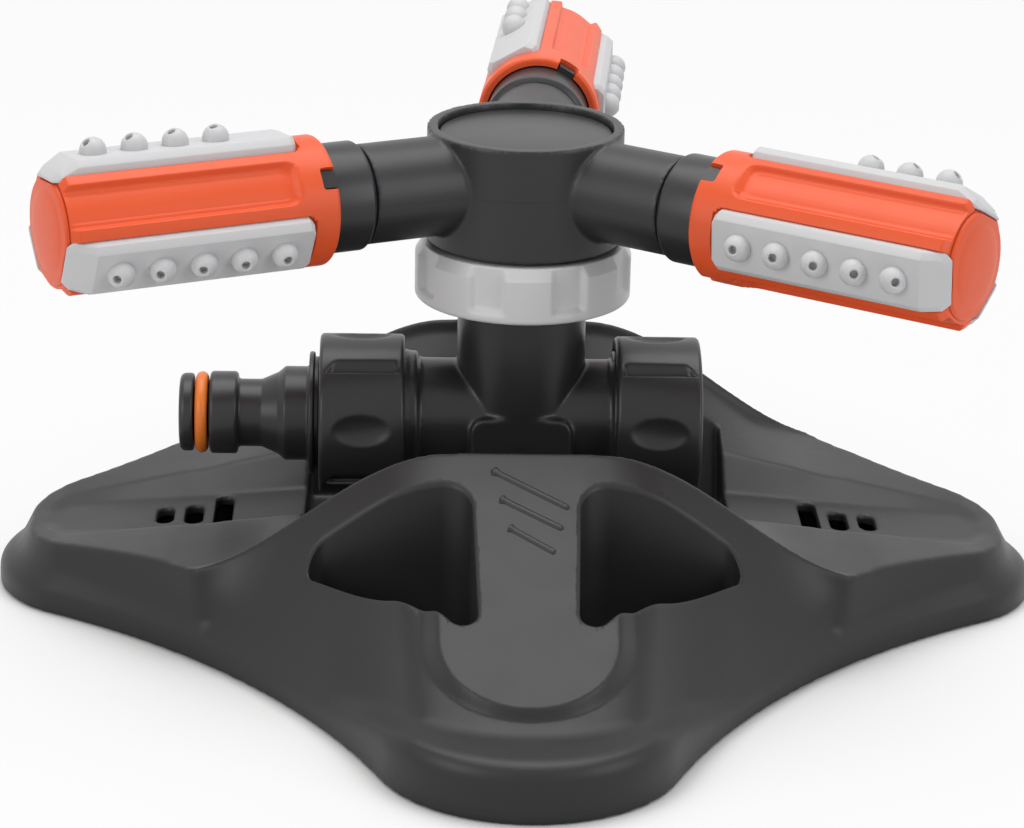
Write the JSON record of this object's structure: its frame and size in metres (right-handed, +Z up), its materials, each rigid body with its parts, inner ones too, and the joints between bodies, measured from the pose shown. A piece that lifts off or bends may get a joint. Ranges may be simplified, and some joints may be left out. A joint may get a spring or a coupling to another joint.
{
  "type": "rotary sprinkler",
  "caption": "Rotary lawn sprinkler: turning nozzle heads on the arms of a spinning hub, on a hollow four-lobed base with a hose adaptor.",
  "frame": {"origin": "on the ground, below the axis that the rotor turns about, at the middle of the base", "axes": "+Z up, X along the hose axis with the hose adaptor at -X, -Y towards the front lobe"},
  "size_m": [0.209, 0.229, 0.1012],
  "materials": {
    "base": "fine grained moulded plastic, dark grey",
    "black_fittings": "satin moulded plastic, near black",
    "light_ring": "satin moulded plastic, light grey",
    "nozzles": "soft satin plastic, light grey",
    "orange": "satin to glossy moulded plastic, orange",
    "orange_seal": "moulded rubber, orange",
    "seals": "moulded rubber, black",
    "screws": "plain steel"
  },
  "bodies": {
    "stand": {"base": "base", "base_screw_1": "screws", "base_screw_2": "screws", "tee_body": "black_fittings", "hose_adaptor": "black_fittings", "adaptor_o_ring": "orange_seal", "inlet_washer": "seals", "lower_thrust_washer": "seals", "upper_thrust_washer": "seals"},
    "inlet_union": {"inlet_nut": "black_fittings"},
    "cap": {"end_cap": "black_fittings", "cap_washer": "seals"},
    "ring": {"lock_ring": "light_ring"},
    "rotor": {"rotor_body": "black_fittings", "hub_cover": "black_fittings", "rotor_spindle": "black_fittings", "spindle_o_ring": "seals", "left_arm_o_ring": "seals", "right_arm_o_ring": "seals", "rear_arm_o_ring": "seals"},
    "left_head": {"left_swivel_collar": "black_fittings", "left_head_shell": "orange", "left_head_cap": "orange", "left_nozzle_strip_1": "nozzles", "left_nozzle_strip_2": "nozzles", "left_nozzle_strip_3": "nozzles"},
    "right_head": {"right_swivel_collar": "black_fittings", "right_head_shell": "orange", "right_head_cap": "orange", "right_nozzle_strip_1": "nozzles", "right_nozzle_strip_2": "nozzles", "right_nozzle_strip_3": "nozzles"},
    "rear_head": {"rear_swivel_collar": "black_fittings", "rear_head_shell": "orange", "rear_head_cap": "orange", "rear_nozzle_strip_1": "nozzles", "rear_nozzle_strip_2": "nozzles", "rear_nozzle_strip_3": "nozzles"}
  },
  "joints": [
    {"name": "rotor_spin", "type": "hinge", "parent": "stand", "child": "rotor", "pos_m": [0, 0, 0.0855], "axis": [0, 0, 1], "continuous": true},
    {"name": "left_head_turn", "type": "hinge", "parent": "rotor", "child": "left_head", "pos_m": [0, 0, 0.0855], "axis": [-0.9063, -0.4226, 0], "continuous": true},
    {"name": "right_head_turn", "type": "hinge", "parent": "rotor", "child": "right_head", "pos_m": [0, 0, 0.0855], "axis": [0.8192, -0.5736, 0], "continuous": true},
    {"name": "rear_head_turn", "type": "hinge", "parent": "rotor", "child": "rear_head", "pos_m": [0, 0, 0.0855], "axis": [0.0872, 0.9962, 0], "continuous": true},
    {"name": "inlet_nut_turn", "type": "hinge", "parent": "stand", "child": "inlet_union", "pos_m": [-0.0315, 0, 0.0355], "axis": [-1, 0, 0], "continuous": true},
    {"name": "end_cap_turn", "type": "hinge", "parent": "stand", "child": "cap", "pos_m": [0.0272, 0, 0.0355], "axis": [1, 0, 0], "continuous": true},
    {"name": "lock_ring_turn", "type": "hinge", "parent": "stand", "child": "ring", "pos_m": [0, 0, 0.0668], "axis": [0, 0, 1], "continuous": true}
  ]
}
